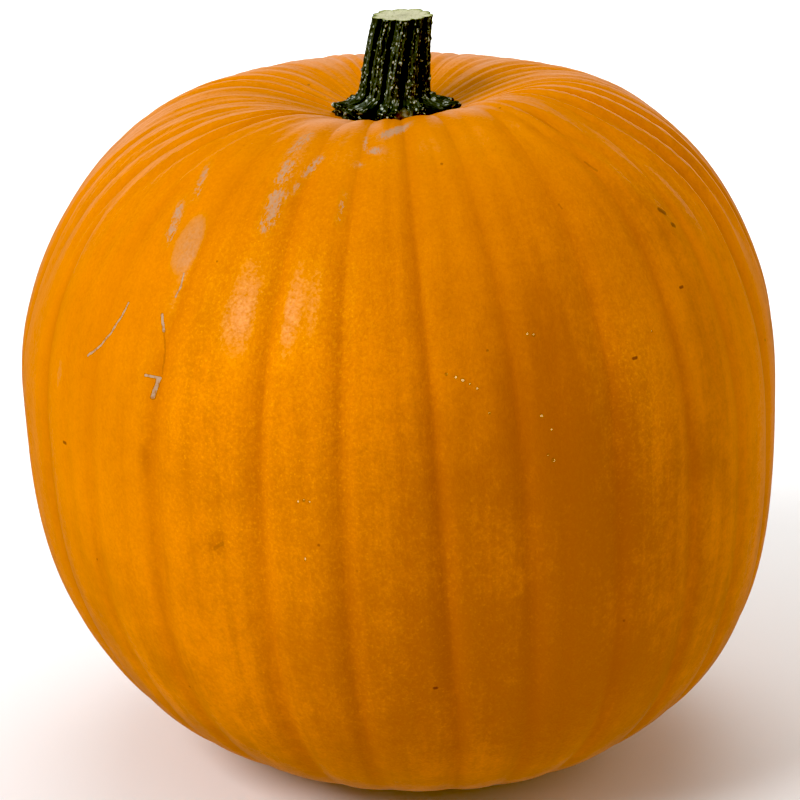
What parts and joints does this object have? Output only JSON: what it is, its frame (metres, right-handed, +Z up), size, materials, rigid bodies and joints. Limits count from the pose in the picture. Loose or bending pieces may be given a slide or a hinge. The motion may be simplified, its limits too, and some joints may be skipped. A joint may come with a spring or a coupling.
{
  "type": "pumpkin",
  "caption": "Tall round ribbed pumpkin that stands on its blossom end, with a cut ridged stem in the basin in its top.",
  "frame": {"origin": "on the surface that the pumpkin stands on, under the middle of its outline", "axes": "+Z up towards the stem; -Y the side that was pictured; +X to the right in the picture"},
  "size_m": [0.3002, 0.2998, 0.3004],
  "materials": {
    "rind": "satin, waxy, finely pored orange rind with tan scars",
    "stem_bark": "dark green ridged bark with pale warts, and a pale fibrous cut"
  },
  "bodies": {
    "root": {"fruit": "rind", "stem": "stem_bark"}
  },
  "joints": []
}
